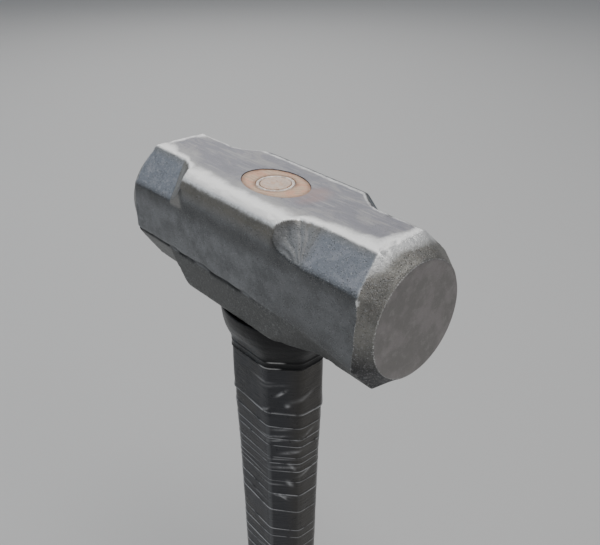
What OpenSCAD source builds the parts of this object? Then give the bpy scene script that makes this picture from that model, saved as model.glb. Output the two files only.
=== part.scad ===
// Lump hammer: forged double-faced head on a wrapped wooden handle.
// Origin: centre of the handle's butt, on the surface it stands on.
// +Z runs up the handle, +X along the head towards one striking face.

/* [Head] */
// Length of the head between its two striking faces
head_l = 134; // [120:1:150]
// Width of the head across its flat sides
head_w = 43; // [40:0.5:48]
// Height of the head from its underside to its top
head_h = 49; // [46:0.5:54]
// Diameter of each round striking face
face_d = 39.4; // [34:0.2:40]
// Length of the bevel from the octagonal end to the striking face
bevel_l = 7.6; // [5:0.2:10]
// Width of the flat left on top of each end
top_flat_w = 21.4; // [18:0.2:26]
// How far the upper chamfer comes down the side
upper_chamfer_h = 11.9; // [9:0.1:14]
// Width of the flat left under each end
bottom_flat_w = 24; // [20:0.2:28]
// How far the lower chamfer comes up the side
lower_chamfer_h = 14.9; // [12:0.1:16]
// Length of the full-width cheeks around the eye
cheek_l = 49; // [44:1:56]
// Radius of the hollow where a chamfer runs out into a cheek
run_out_r = 9; // [7:0.5:12]

/* [Eye and wedge] */
// Length of the eye's mouth, along the head
eye_l = 29; // [26:0.5:32]
// Width of the eye's mouth, across the head
eye_w = 20.6; // [18:0.2:23]
// Width of the eye at its waist, as a share of its mouth
eye_waist = 0.92; // [0.88:0.01:0.98]
// Outer diameter of the round wedge
wedge_d = 14.2; // [12:0.2:16]
// Wall of the round wedge at its top
wedge_wall = 1.5; // [1.2:0.1:2]
// Depth of the round wedge
wedge_h = 16; // [12:0.5:20]

/* [Handle] */
// Overall height of the hammer
overall_h = 265; // [250:1:300]
// Depth of the bare grip at the collar, along the head
grip_depth = 39.6; // [36:0.2:42]
// Thickness of the bare grip at the collar, across the head
grip_thickness = 29.2; // [27:0.2:31]
// Waist of the grip, as a share of its size at the collar
grip_waist = 0.88; // [0.85:0.01:1]
// Swell of the grip near the butt, as a share of its size at the collar
grip_swell = 0.97; // [0.92:0.01:1.02]

/* [Collar] */
// Height of the collar under the head
collar_h = 19.5; // [18:0.5:28]
// Length of the collar's flared top, along the head
flare_l = 49; // [44:0.5:52]
// Width of the flared top, across the head
flare_w = 40.6; // [36:0.2:42]
// Thickness of the collar's lower rim
rim_t = 0.9; // [0.6:0.1:2]

/* [Tape] */
// Width of the tape
tape_w = 22.5; // [15:0.5:25]
// Thickness of the smooth band under the collar
band_t = 0.4; // [0.2:0.1:0.6]
// Thickness of the wound tape at the upper edge of a turn
wrap_t = 0.9; // [0.7:0.1:1.2]
// Distance from one turn of tape to the next
turn_pitch = 6.6; // [5:0.2:9]
// Bare wood left below the tape at the butt
bare_butt_h = 18; // [10:1:30]

/* [Hidden] */
$fn = 72;
thin = 0.01;

// The head
half_l = head_l / 2;
half_w = head_w / 2;
half_h = head_h / 2;
head_bottom = overall_h - head_h;
head_z = overall_h - half_h;
face_land = 0.6;
face_x = half_l - face_land;
end_x = half_l - bevel_l;
bevel_root = 0.4;
bevel_ease = 0.996;
upper_q_z = half_h - upper_chamfer_h;
lower_q_z = lower_chamfer_h - half_h;

// The cheeks are nearly square, eased at their corners
cheek_top_half = 17;
cheek_top_corner = [half_w - 1.2, half_h - 1.5];
cheek_shoulder_z = half_h - 5.4;
cheek_foot_corner = [half_w - 1.1, 1.1 - half_h];
cheek_foot_half = half_w - 2.3;

// The fits in the eye
fit_gap = 0.1;
wedge_gap = 0.05;
wedge_tip_wall = 0.7;
end_grain_z = overall_h - 0.2;

// Heights along the handle
collar_bottom = head_bottom - collar_h;
band_bottom = collar_bottom - tape_w - 1;
butt_plate = 0.6;
butt_h = 4;
butt_inset = 2.6;

// The neck of the handle where it meets the head
neck_l = eye_l + 6;
neck_w = eye_w + 6;

// Share of each side of the handle's section that stays flat between its corners
flat_x = 0.507;
flat_y = 0.366;

// Sections of the bare grip: height, and share of its size at the collar
grip_sections = [
    [butt_h, grip_swell],
    [28, grip_swell],
    [55, (grip_swell + grip_waist) / 2],
    [80, grip_waist],
    [145, (1 + grip_waist) / 2],
    [band_bottom, 1],
    [collar_bottom, 1]
];

// The collar's flare: share of its height, and share of its full spread
flare_sections = [[0.48, 0.5], [0.84, 0.94], [1, 1]];
rim_h = 0.2 * collar_h;
wrap_step_h = 0.3;
wrap_tail_share = 0.5;

// Corners of the handle's section, for half sizes a along X and b along Y
function octagon(a, b) = [
    [a, -flat_y * b], [a, flat_y * b], [flat_x * a, b], [-flat_x * a, b],
    [-a, flat_y * b], [-a, -flat_y * b], [-flat_x * a, -b], [flat_x * a, -b]
];

function share_at(z) = lookup(z, grip_sections);
function grip_a(z) = grip_depth / 2 * share_at(z);
function grip_b(z) = grip_thickness / 2 * share_at(z);

// A section given for one side, completed with its mirror image
function both_sides(half) = concat(
    half,
    [for (i = [len(half) - 1 : -1 : 0]) [-half[i][0], half[i][1]]]
);

function cheek_half() = [
    [cheek_top_half, half_h], cheek_top_corner, [half_w, cheek_shoulder_z],
    [half_w, lower_q_z], cheek_foot_corner, [cheek_foot_half, -half_h]
];

function end_half() = [
    [top_flat_w / 2, half_h], [half_w, upper_q_z],
    [half_w, lower_q_z], [bottom_flat_w / 2, -half_h]
];

module octagon_slab(z, a, b, h = thin) {
    translate([0, 0, z]) linear_extrude(height = h) polygon(octagon(a, b));
}

module oval_slab(z, a, b) {
    translate([0, 0, z]) scale([a / b, 1, 1]) cylinder(h = thin, r = b, $fn = 32);
}

// Solid through the grip's section at each [height, growth] pair, from the lowest up
module grip_stack(rings) {
    count = len(rings);
    points = [
        for (ring = rings) for (p = octagon(grip_a(ring[0]) + ring[1], grip_b(ring[0]) + ring[1]))
            [p[0], p[1], ring[0]]
    ];
    sides = [
        for (i = [0 : count - 2]) for (k = [0 : 7])
            [8 * i + k, 8 * i + 8 + k, 8 * i + 8 + (k + 1) % 8, 8 * i + (k + 1) % 8]
    ];
    base = [for (k = [0 : 7]) k];
    crown = [for (k = [7 : -1 : 0]) 8 * (count - 1) + k];
    polyhedron(points = points, faces = concat([base], sides, [crown]), convexity = 4);
}

// Turns a section drawn across the head into a bar along it
module along_head(x, length) {
    translate([x, 0, 0]) rotate([90, 0, 90]) linear_extrude(height = length) children();
}

// Cuts the chamfer from p, on the top, to q, on the side, and runs it out
// into the cheek as a hollow
module corner_cut(p, q) {
    hollow_x = cheek_l / 2 + run_out_r;
    reach = half_w;
    hollow = [
        for (a = [0 : 10 : 90]) [hollow_x - run_out_r * sin(a), run_out_r * (1 - cos(a))]
    ];
    translate([0, p[0], p[1]])
        rotate([atan2(q[1] - p[1], q[0] - p[0]), 0, 0])
            rotate([90, 0, 0])
                linear_extrude(height = 2 * head_w, center = true)
                    polygon(concat([[half_l, 0]], hollow, [[cheek_l / 2, reach], [half_l, reach]]));
}

module corner_cuts() {
    for (end = [0, 1]) mirror([end, 0, 0])
        for (side = [0, 1]) mirror([0, side, 0]) {
            corner_cut([top_flat_w / 2, half_h], [half_w, upper_q_z]);
            mirror([0, 0, 1]) corner_cut([bottom_flat_w / 2, half_h], [half_w, -lower_q_z]);
        }
}

// The hourglass eye, or the tenon that fills it when a gap is given
module eye_shape(gap) {
    mouth_r = eye_w / 2 - gap;
    scale([eye_l / eye_w, 1, 1])
        for (up = [0, 1]) mirror([0, 0, up])
            cylinder(h = half_h, r1 = mouth_r * eye_waist, r2 = mouth_r);
}

// Loft from just inside the octagonal end down to the round striking face
module bevelled_end() {
    hull() {
        along_head(end_x - 2 * bevel_root, bevel_root) scale(bevel_ease) polygon(both_sides(end_half()));
        translate([face_x, 0, 0]) rotate([0, 90, 0]) cylinder(h = face_land / 2, d = face_d - face_land, $fn = 64);
    }
    translate([face_x, 0, 0]) rotate([0, 90, 0]) cylinder(h = face_land, d = face_d);
}

module head() {
    color("slategray") translate([0, 0, head_z]) {
        difference() {
            along_head(-end_x, 2 * end_x) polygon(both_sides(cheek_half()));
            corner_cuts();
            eye_shape(0);
        }
        bevelled_end();
        mirror([1, 0, 0]) bevelled_end();
    }
}

// Half section of the round wedge, which thins towards its tip
module wedge_section(gap, proud) {
    outer_r = wedge_d / 2;
    thinning = (wedge_wall - wedge_tip_wall) / 2;
    polygon([
        [outer_r - wedge_wall - gap, proud], [outer_r + gap, proud],
        [outer_r - thinning + gap, -wedge_h - gap],
        [outer_r - wedge_wall + thinning - gap, -wedge_h - gap]
    ]);
}

module ring_wedge() {
    color("silver") translate([0, 0, end_grain_z]) rotate_extrude() wedge_section(0, 0);
}

module tenon() {
    difference() {
        translate([0, 0, head_z]) eye_shape(fit_gap);
        translate([-eye_l, -eye_w, end_grain_z]) cube([2 * eye_l, 2 * eye_w, half_h]);
        translate([0, 0, end_grain_z]) rotate_extrude() wedge_section(wedge_gap, 1);
    }
}

// From the grip's octagon to the oval shoulder under the head
module neck() {
    hull() {
        octagon_slab(collar_bottom, grip_depth / 2, grip_thickness / 2);
        oval_slab(head_bottom - thin, neck_l / 2, neck_w / 2);
    }
}

module butt() {
    foot_a = grip_a(butt_h) - butt_inset;
    foot_b = grip_b(butt_h) - butt_inset;
    octagon_slab(0, foot_a, foot_b, butt_plate);
    hull() {
        octagon_slab(butt_plate - thin, foot_a, foot_b);
        octagon_slab(butt_h - thin, grip_a(butt_h), grip_b(butt_h));
    }
}

module bare_grip() {
    grip_stack([for (s = grip_sections) [s[0], 0]]);
}

module handle() {
    color("burlywood") {
        butt();
        bare_grip();
        neck();
        tenon();
    }
}

module collar_outside() {
    rim_a = grip_depth / 2 + rim_t;
    rim_b = grip_thickness / 2 + rim_t;
    function flare_a(share) = rim_a + share * (flare_l / 2 - rim_a);
    function flare_b(share) = rim_b + share * (flare_w / 2 - rim_b);
    octagon_slab(collar_bottom, rim_a, rim_b, rim_h);
    hull() {
        octagon_slab(collar_bottom + rim_h - thin, rim_a, rim_b);
        oval_slab(collar_bottom + flare_sections[0][0] * collar_h,
            flare_a(flare_sections[0][1]), flare_b(flare_sections[0][1]));
    }
    for (i = [0, 1]) hull() for (s = [flare_sections[i], flare_sections[i + 1]])
        oval_slab(collar_bottom + s[0] * collar_h - thin, flare_a(s[1]), flare_b(s[1]));
}

module neck_collar() {
    color("#26282c") difference() {
        collar_outside();
        neck();
    }
}

module top_band() {
    color("#2c2d31") difference() {
        grip_stack([[band_bottom, band_t], [collar_bottom, band_t]]);
        bare_grip();
    }
}

// Wound from the top down: each turn's upper edge stands proud of the turn above it
module grip_tape() {
    turns = floor((band_bottom - bare_butt_h) / turn_pitch);
    tail = wrap_t * wrap_tail_share;
    rings = [
        for (i = [turns - 1 : -1 : 0]) let (edge = band_bottom - i * turn_pitch)
            each [[edge - turn_pitch + wrap_step_h, tail], [edge, wrap_t]]
    ];
    color("#222327") difference() {
        grip_stack(rings);
        bare_grip();
    }
}

head();
handle();
ring_wedge();
neck_collar();
top_band();
grip_tape();
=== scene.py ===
"""Lump hammer: the finished look of a forged head on a tape-wound wooden handle.

Every length is in metres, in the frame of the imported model: the butt stands on
z = 0 and the head lies along X.
"""

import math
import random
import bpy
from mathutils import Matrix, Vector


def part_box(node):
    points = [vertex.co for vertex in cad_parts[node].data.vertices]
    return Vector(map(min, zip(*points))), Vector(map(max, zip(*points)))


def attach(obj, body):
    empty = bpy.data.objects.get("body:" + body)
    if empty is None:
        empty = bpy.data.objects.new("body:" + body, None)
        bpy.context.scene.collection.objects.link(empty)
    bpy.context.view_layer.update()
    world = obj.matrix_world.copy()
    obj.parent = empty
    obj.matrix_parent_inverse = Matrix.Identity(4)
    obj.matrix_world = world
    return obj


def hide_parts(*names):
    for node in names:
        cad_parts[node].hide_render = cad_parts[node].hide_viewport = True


bl_info = {
    "name": "Lump hammer",
    "version": (1, 0, 0),
    "blender": (4, 5, 0),
    "location": "View3D > Sidebar > Hammer",
    "description": "Builds the worn head, wooden handle, wedge, collar and wound tape of a lump hammer",
    "category": "Add Mesh",
}

import bmesh
import bpy
import numpy as np
from bpy.props import FloatProperty, FloatVectorProperty, IntProperty, PointerProperty
from mathutils import Matrix, Vector, noise

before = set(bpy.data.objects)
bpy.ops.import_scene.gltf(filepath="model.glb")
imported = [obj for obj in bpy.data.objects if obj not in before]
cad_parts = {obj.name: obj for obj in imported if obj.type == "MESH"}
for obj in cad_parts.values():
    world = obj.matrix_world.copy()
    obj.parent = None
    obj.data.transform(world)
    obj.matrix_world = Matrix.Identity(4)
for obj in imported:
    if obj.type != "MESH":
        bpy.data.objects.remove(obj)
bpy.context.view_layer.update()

MM = 0.001
TURN = 2 * math.pi


def corners(node):
    """Lowest and highest corner of a part of the frame, as arrays."""
    low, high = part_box(node)
    return np.array(low), np.array(high)


HEAD_LOW, HEAD_HIGH = corners("head")
HANDLE_LOW, HANDLE_HIGH = corners("handle")
WEDGE_LOW, WEDGE_HIGH = corners("ring_wedge")
COLLAR_LOW, COLLAR_HIGH = corners("neck_collar")
BAND_LOW, BAND_HIGH = corners("top_band")
TAPE_LOW, TAPE_HIGH = corners("grip_tape")

HALF_L, HALF_W, HALF_H = (HEAD_HIGH - HEAD_LOW) / 2
HEAD_Z = (HEAD_HIGH[2] + HEAD_LOW[2]) / 2

# Half sizes of the eye's mouths, and the share of them that is left at its waist
EYE_LENGTH, EYE_WIDTH = 14.5 * MM, 10.3 * MM
EYE_WAIST = 0.92
# Half sizes of the handle's oval neck just under the head
NECK_LENGTH, NECK_WIDTH = 17.5 * MM, 13.3 * MM
WEDGE_WALL = 1.5 * MM
# Height of the band's rolled edge at the front
ROLL_Z = BAND_LOW[2] + 1.9 * MM


# ---------------------------------------------------------------- settings


def length(name, value, text):
    """A length that a user may change, in metres."""
    return FloatProperty(name=name, description=text, default=value, min=0.0, unit="LENGTH")


def colour(name, value, text):
    """A surface colour that a user may change."""
    return FloatVectorProperty(
        name=name, description=text, default=value, size=3, min=0.0, max=1.0, subtype="COLOR"
    )


class HeadSettings(bpy.types.PropertyGroup):
    face_width: length("Face half width", 19.65 * MM, "Half the width of the striking faces")
    face_height: length("Face half height", 20.5 * MM, "Half the height of the striking faces")
    bevel: length("Bevel", 7.6 * MM, "Length of the bevel behind each striking face")
    top_flat: length("Top flat", 10.7 * MM, "Half the width of the flat on top of each end")
    top_chamfer: length("Upper chamfer", 11.9 * MM, "How far the upper chamfer comes down")
    foot_flat: length("Foot flat", 12.0 * MM, "Half the width of the flat under each end")
    foot_chamfer: length("Lower chamfer", 15.1 * MM, "How far the lower chamfer comes up")
    eye_length: length("Eye length", EYE_LENGTH, "Half the eye's mouth, along the head")
    eye_width: length("Eye width", EYE_WIDTH, "Half the eye's mouth, across the head")
    steel: colour("Steel", (0.185, 0.192, 0.200), "Dark forged steel")
    # This colour is partly worn steel and partly painted highlight on the edges
    bright: colour("Worn steel", (0.97, 0.965, 0.95), "Steel rubbed bright on the edges")
    face_steel: colour("Face steel", (0.255, 0.243, 0.235), "Ground steel of the striking faces")
    rust: colour("Rust", (0.10, 0.058, 0.042), "Brown speckle and stain")


class HandleSettings(bpy.types.PropertyGroup):
    rounding: length("Butt rounding", 3.2 * MM, "Rounding of the butt's edge")
    pale: colour("Pale wood", (0.88, 0.60, 0.40), "Early wood between the growth rings")
    dark: colour("Dark wood", (0.52, 0.28, 0.16), "Late wood of the growth rings")


class WedgeSettings(bpy.types.PropertyGroup):
    wall: length("Wall", WEDGE_WALL, "Wall of the round wedge at its top")
    metal: colour("Wedge metal", (0.92, 0.82, 0.74), "Steel of the round wedge")


class CollarSettings(bpy.types.PropertyGroup):
    bead: length("Bead", 0.30 * MM, "How far the bead on the lower rim stands out")
    black: colour("Collar black", (0.006, 0.006, 0.007), "Glossy black of the collar")


class TapeSettings(bpy.types.PropertyGroup):
    turns: IntProperty(name="Turns", description="Turns of tape on the grip", default=23, min=12)
    step: length("Step", 0.34 * MM, "How far a turn's upper edge stands proud")
    black: colour("Tape black", (0.015, 0.016, 0.020), "Body of the tape")
    # This pale colour is partly rubbed tape and partly painted highlight on the edges and puckers
    scuffed: colour("Scuffed tape", (0.62, 0.62, 0.63), "Tape where its edges are rubbed pale")


class StageSettings(bpy.types.PropertyGroup):
    azimuth: FloatProperty(
        name="Azimuth", description="Camera's bearing round the hammer",
        default=math.radians(47.93), subtype="ANGLE",
    )
    elevation: FloatProperty(
        name="Elevation", description="Camera's height above the horizon",
        default=math.radians(30.17), subtype="ANGLE",
    )
    distance: length("Distance", 0.2660, "From the camera to the head's centre plane")
    aim_right: FloatProperty(
        name="Aim right", description="How far right of the head the camera aims",
        default=8.6 * MM, unit="LENGTH",
    )
    aim_down: length("Aim down", 10.36 * MM, "How far below the head the camera aims")
    lens: FloatProperty(
        name="Lens", description="Focal length for a 36 mm sensor, in millimetres",
        default=43.53, min=10.0,
    )
    roll: FloatProperty(
        name="Roll", description="Turn of the camera about its own axis",
        default=math.radians(0.207), subtype="ANGLE",
    )
    floor: colour("Floor", (0.70, 0.695, 0.685), "Plain pale floor")


# ---------------------------------------------------------------- shader maths


class Wire:
    """A shader output that ordinary arithmetic can be written on."""

    def __init__(self, web, socket):
        self.web = web
        self.socket = socket

    def maths(self, operation, *others, clamp=False):
        values = dict(enumerate((self, *others)))
        return self.web.add("ShaderNodeMath", {"operation": operation, "use_clamp": clamp}, values)

    def __add__(self, other):
        return self.maths("ADD", other)

    def __sub__(self, other):
        return self.maths("SUBTRACT", other)

    def __rsub__(self, other):
        return self.web.add("ShaderNodeMath", {"operation": "SUBTRACT"}, {0: other, 1: self})

    def __mul__(self, other):
        return self.maths("MULTIPLY", other)

    def __truediv__(self, other):
        return self.maths("DIVIDE", other)

    __radd__ = __add__
    __rmul__ = __mul__

    def clipped(self):
        return self.maths("ADD", 0.0, clamp=True)

    def most(self, other):
        return self.maths("MAXIMUM", other)

    def step(self, low, high):
        """0 below low and 1 above high, or the other way round, with a smooth change between."""
        return self.web.add(
            "ShaderNodeMapRange",
            {"interpolation_type": "SMOOTHSTEP"},
            {"Value": self, "From Min": low, "From Max": high},
        )


class Web:
    """The node tree of one material."""

    def __init__(self, name, **constants):
        self.material = bpy.data.materials.new(name)
        self.material.use_nodes = True
        self.tree = self.material.node_tree
        self.shader = self.tree.nodes["Principled BSDF"]
        for socket, value in constants.items():
            self.shader.inputs[socket.replace("_", " ")].default_value = value
        self.point = self.add("ShaderNodeTexCoord", out="Object")

    def add(self, kind, settings=(), sockets=(), out=0):
        """Adds a node: first its settings, then the values or links of its sockets."""
        node = self.tree.nodes.new(kind)
        for name, value in dict(settings).items():
            setattr(node, name, value)
        for key, value in dict(sockets).items():
            if isinstance(value, Wire):
                self.tree.links.new(value.socket, node.inputs[key])
            else:
                node.inputs[key].default_value = value
        return Wire(self, node.outputs[out])

    def painted(self, name):
        """A value stored on the mesh."""
        return self.add("ShaderNodeAttribute", {"attribute_name": name}, out="Fac")

    def stretched(self, scale, turn=(0.0, 0.0, 0.0)):
        """The surface point, in millimetres, stretched by scale."""
        return self.add(
            "ShaderNodeMapping",
            {"vector_type": "POINT"},
            {"Vector": self.point, "Scale": [s / MM for s in scale], "Rotation": turn},
        )

    def cloud(self, size, detail=3.0, roughness=0.55, warp=0.0, at=None):
        """Noise from 0 to 1 whose lumps are size millimetres across."""
        point = at or self.stretched((1.0, 1.0, 1.0))
        return self.add(
            "ShaderNodeTexNoise",
            {"noise_dimensions": "3D"},
            {
                "Vector": point, "Scale": 1.0 / size, "Detail": detail,
                "Roughness": roughness, "Distortion": warp,
            },
        )

    def cells(self, size, at=None):
        """Distance to the nearest of a scatter of points, size millimetres apart."""
        point = at or self.stretched((1.0, 1.0, 1.0))
        return self.add(
            "ShaderNodeTexVoronoi", {"feature": "F1"},
            {"Vector": point, "Scale": 1.0 / size}, out="Distance",
        )

    def mix(self, share, first, second):
        """A colour between first and second."""
        ends = [(*c, 1.0) if isinstance(c, (tuple, list)) else c for c in (first, second)]
        return self.add(
            "ShaderNodeMix", {"data_type": "RGBA"}, {0: share, 6: ends[0], 7: ends[1]}, out=2
        )

    def layered(self, base, *layers):
        """A base colour with layers over it, each given as its share and its colour."""
        for share, shade in layers:
            base = self.mix(share, base, shade)
        return base

    def finish(self, base, roughness, height, depth, metallic=None):
        """Links what varies to the shader; depth is the relief, in metres."""
        normal = self.add(
            "ShaderNodeBump", {}, {"Height": height, "Strength": 1.0, "Distance": depth}, out="Normal"
        )
        links = {"Base Color": base, "Roughness": roughness, "Normal": normal}
        if metallic is not None:
            links["Metallic"] = metallic
        for name, wire in links.items():
            self.tree.links.new(wire.socket, self.shader.inputs[name])
        return self.material


# ---------------------------------------------------------------- materials


def forged_steel(settings):
    """Dark scale over steel: rubbed bright on the edges, partly as painted highlight, brown beside them,
    ground on the faces, with painted shade, a painted sky reflection and painted light in places.
    """
    web = Web("forged_steel", IOR=2.2)
    wear_and_highlight, glint, top, chamfer = (web.painted(name) for name in ("wear_and_highlight", "glint", "top", "chamfer"))
    face, bevel, rusty = (web.painted(name) for name in ("face", "bevel", "rusty"))

    broad = web.cloud(24.0, 2.0)
    patches = web.cloud(6.0, 4.0, 0.6)
    grain = web.cloud(1.1, 4.0, 0.7)
    fine = web.cloud(0.42, 3.0, 0.7)
    pitted = web.cells(0.8).step(0.36, 0.10)
    streaks = web.cloud(1.0, 3.0, 0.6, at=web.stretched((0.05, 1.0, 1.0), (0.0, 0.0, 0.16)))
    swept = web.cloud(1.6, 3.0, 0.6, at=web.stretched((0.12, 1.0, 1.0), (0.0, 0.0, -0.5)))
    haze = web.cloud(7.0, 4.0, 0.65, 0.8, at=web.stretched((0.45, 1.0, 1.0)))

    # Scale: bluish on the chamfers, the blue partly a painted sky reflection, violet on top, with painted
    # light on the ramp, painted shade just under the chamfers, where it is also pitted, and painted shade
    # underneath
    dark, light = (tuple(k * c for c in settings.steel) for k in (0.82, 1.45))
    body = web.layered(
        web.mix(patches.step(0.30, 0.72), dark, light),
        (broad.step(0.40, 0.66) * 0.5, (0.245, 0.252, 0.262)),
        # The chamfers' blue is partly a painted reflection of the sky
        (chamfer * 0.85, (0.260, 0.280, 0.315)),
        (chamfer * web.cloud(4.5, 3.0).step(0.48, 0.66) * 0.6, (0.38, 0.385, 0.42)),
        # Painted light on the ramp below the far front crease and on the near front chamfer
        (web.painted("painted_ramp_light") * 0.85, (0.375, 0.365, 0.345)),
        (top * 0.9, (0.262, 0.260, 0.292)),
        (top * haze.step(0.46, 0.66) * 0.75, (0.375, 0.362, 0.362)),
        (top * swept.step(0.50, 0.72) * 0.6, (0.44, 0.43, 0.43)),
        (top * streaks.step(0.56, 0.70) * 0.35, (0.16, 0.16, 0.18)),
        # Paler haze on top beside the front edges: the soft edge of the bright strip and of its painted
        # highlight
        (web.painted("hazy") * (0.2 + 1.1 * haze), (0.54, 0.53, 0.51)),
        (web.painted("tint") * (0.6 + 0.6 * (patches - 0.5)), (0.245, 0.222, 0.175)),
        # Painted shade on the sides by the chamfers, under the brow and low towards the near end
        ((web.painted("painted_side_shade") * (0.30 + 1.2 * grain)).clipped() * 0.8, (0.050, 0.053, 0.053)),
        # Painted shade on the underside
        (web.painted("under") * 0.82, (0.078, 0.080, 0.076)),
    )

    # Bevels: brown grey, rusty and pitted above, dark below
    rim = web.mix(patches.step(0.35, 0.65), (0.240, 0.234, 0.215), (0.330, 0.318, 0.290))
    rim = web.mix(web.painted("shade") * 0.93, rim, (0.024, 0.025, 0.030))

    # Striking faces: ground, clouded and finely pitted
    clouded = web.cloud(8.0, 4.0, 0.6).step(0.38, 0.62)
    ground = web.layered(
        web.mix(clouded, tuple(settings.face_steel), (0.325, 0.300, 0.298)),
        (web.cloud(2.6, 4.0, 0.65).step(0.50, 0.68) * 0.5, (0.365, 0.350, 0.338)),
        (fine.step(0.50, 0.70) * 0.25, (0.20, 0.19, 0.19)),
    )

    # Grit in every colour of the scale, thickest where the steel is rough
    coarse = (1.0 - face) * (1.0 - 0.55 * top)
    mixed = 0.55 * fine + 0.45 * grain
    bright_grit = mixed.step(0.50, 0.66) * coarse * (0.42 + 0.3 * chamfer + 0.2 * bevel)
    speckle = web.cells(0.52).step(0.50, 0.12) * web.cloud(1.7, 4.0, 0.7).step(0.42, 0.62) * rusty
    pale_specks = web.cells(0.6, at=web.stretched((1.0, 1.0, 1.3))).step(0.34, 0.08)
    body = web.layered(
        body,
        (bevel, rim),
        (face, ground),
        (bright_grit, (0.52, 0.525, 0.54)),
        (pitted * grain.step(0.40, 0.62) * coarse * 0.75, (0.030, 0.031, 0.033)),
        (speckle * 0.8, tuple(settings.rust)),
        (rusty * pale_specks, (0.50, 0.47, 0.42)),
        (web.painted("stain") * patches.step(0.30, 0.62) * 0.7, (0.38, 0.275, 0.265)),
        # The dark seam is partly painted shadow in its groove; the eye's walls are painted dark as shade
        (web.painted("seam") * 0.95, (0.006, 0.006, 0.007)),
    )

    # Bright edges: partly worn steel, partly painted highlight
    rubbed = (wear_and_highlight * 1.5 + 0.7 * (grain - 0.5) + 0.4 * (patches - 0.5)).step(0.0, 1.05)
    rubbed = rubbed * (wear_and_highlight * 4.0).clipped()
    sparks = (glint * 1.5 + 1.6 * (fine - 0.5) + 0.8 * (grain - 0.5)).step(0.35, 0.95)
    shiny = rubbed.most(sparks * (glint * 4.0).clipped())
    base = web.mix(shiny, body, tuple(settings.bright))

    roughness = 0.47 - 0.13 * shiny + 0.12 * (patches - 0.5) + 0.14 * (grain - 0.5) + 0.2 * speckle
    metallic = 0.86 - 0.16 * shiny - 0.4 * speckle
    scratches = 0.25 * streaks * (top + face)
    relief = 0.6 * grain * coarse + 0.35 * fine + scratches - 0.35 * pitted * coarse
    return web.finish(base, roughness.clipped(), relief, 0.26 * MM, metallic.clipped())


def handle_wood(settings):
    """Growth rings about a pith beside the handle, drawn into grain along it."""
    web = Web("handle_wood", IOR=1.5)
    end, core = web.painted("end"), web.painted("core")
    point = web.stretched((1.0, 1.0, 0.03))
    pith = web.add("ShaderNodeVectorMath", {"operation": "SUBTRACT"}, {0: point, 1: (-9.0, 17.0, 0.0)})
    sway = web.add("ShaderNodeTexNoise", {}, {"Vector": point, "Scale": 0.16, "Detail": 2.0}, out="Color")
    bent = web.add("ShaderNodeVectorMath", {"operation": "ADD"}, {0: pith, 1: sway})
    distance = web.add("ShaderNodeVectorMath", {"operation": "LENGTH"}, {0: bent}, out="Value")
    rings = (distance / 1.5).maths("FRACT").step(0.1, 0.95)
    pores = web.cells(0.42, at=web.stretched((1.0, 1.0, 0.05))).step(0.30, 0.10)
    mottle = web.cloud(4.0, 4.0)
    base = web.layered(
        web.mix(rings * 0.45, tuple(settings.pale), tuple(settings.dark)),
        (mottle.step(0.42, 0.66) * 0.6, (0.95, 0.80, 0.66)),
        (end * mottle.step(0.42, 0.60) * 0.85, (0.90, 0.46, 0.27)),
        (core * (0.45 + 0.5 * mottle), (0.95, 0.80, 0.68)),
        (core * web.cloud(1.8, 4.0).step(0.46, 0.62) * 0.8, (0.86, 0.55, 0.38)),
        (pores * 0.5, (0.16, 0.09, 0.06)),
        (web.painted("grime") * (0.25 + 0.9 * mottle), (0.26, 0.13, 0.08)),
        (web.cloud(8.0, 3.0).step(0.55, 0.75) * 0.2, (0.14, 0.10, 0.08)),
    )
    roughness = 0.46 + 0.3 * (mottle - 0.5)
    relief = 0.6 * (1.0 - pores) + 0.4 * rings + 0.8 * mottle
    return web.finish(base, roughness, relief, 0.22 * MM)


def wedge_steel(settings):
    """Bright hammered steel with grime in its dimples."""
    web = Web("wedge_steel", IOR=2.2)
    dimples = web.cloud(1.6, 3.0)
    grain = web.cloud(0.4, 3.0)
    base = web.mix(dimples.step(0.40, 0.62), tuple(0.72 * c for c in settings.metal), tuple(settings.metal))
    base = web.mix(web.cloud(3.0, 2.0).step(0.56, 0.68) * 0.5, base, (0.36, 0.22, 0.14))
    return web.finish(base, 0.38 + 0.25 * grain, dimples + 0.4 * grain, 0.2 * MM, 0.75 + 0.2 * dimples)


def collar_black(settings):
    """Glossy moulded black, with faint bluish scuffs that are partly a painted reflection, and a painted
    highlight along its bead.
    """
    web = Web("collar_black", IOR=1.36)
    smears = web.cloud(5.0, 4.0, 0.6)
    fleck = web.cloud(0.8, 3.0)
    # Bluish scuffs, partly a painted reflection
    scuffed = (smears.step(0.45, 0.65) * 0.35 + fleck.step(0.50, 0.68) * 0.65) * web.painted("scuff_and_reflection")
    base = web.layered(
        tuple(settings.black),
        (scuffed, (0.058, 0.070, 0.084)),
        (fleck.step(0.66, 0.78) * smears * 0.5, (0.10, 0.11, 0.12)),
        # Painted highlight along the two lines of the bead
        (web.painted("painted_crest_highlight") * (0.5 + fleck), (0.62, 0.61, 0.60)),
    )
    roughness = 0.20 + 0.22 * smears + 0.08 * fleck
    return web.finish(base, roughness, fleck + 2.0 * smears, 0.10 * MM)


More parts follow.
